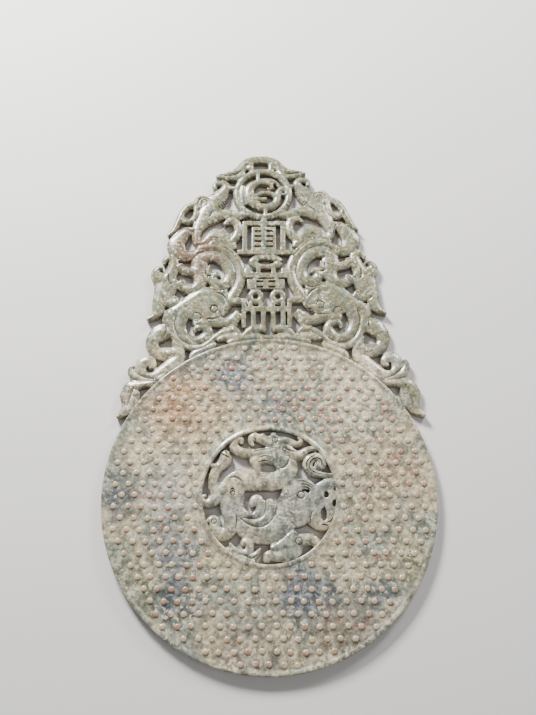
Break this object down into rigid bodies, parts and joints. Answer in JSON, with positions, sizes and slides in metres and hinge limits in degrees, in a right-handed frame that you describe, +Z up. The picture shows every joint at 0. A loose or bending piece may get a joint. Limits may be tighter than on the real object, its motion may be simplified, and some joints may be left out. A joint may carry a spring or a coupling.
{
  "type": "jade bi disc",
  "caption": "Flat carved jade disc with an openwork crest of dragons and a dragon in its hole; lies on its plain back.",
  "frame": {"origin": "middle of the bounding box of the whole carving, on the flat underside", "axes": "+Z up from the plain back to the carved face, +Y from the foot of the disc to the top of the crest, +X to the right when the crest points away from the viewer"},
  "size_m": [0.18, 0.3045, 0.0052],
  "materials": {
    "nephrite": "polished nephrite, pale greyish green with cream, slate-blue and tan clouds, slightly waxy"
  },
  "bodies": {
    "root": {"jade_bi_disc": "nephrite"}
  },
  "joints": []
}
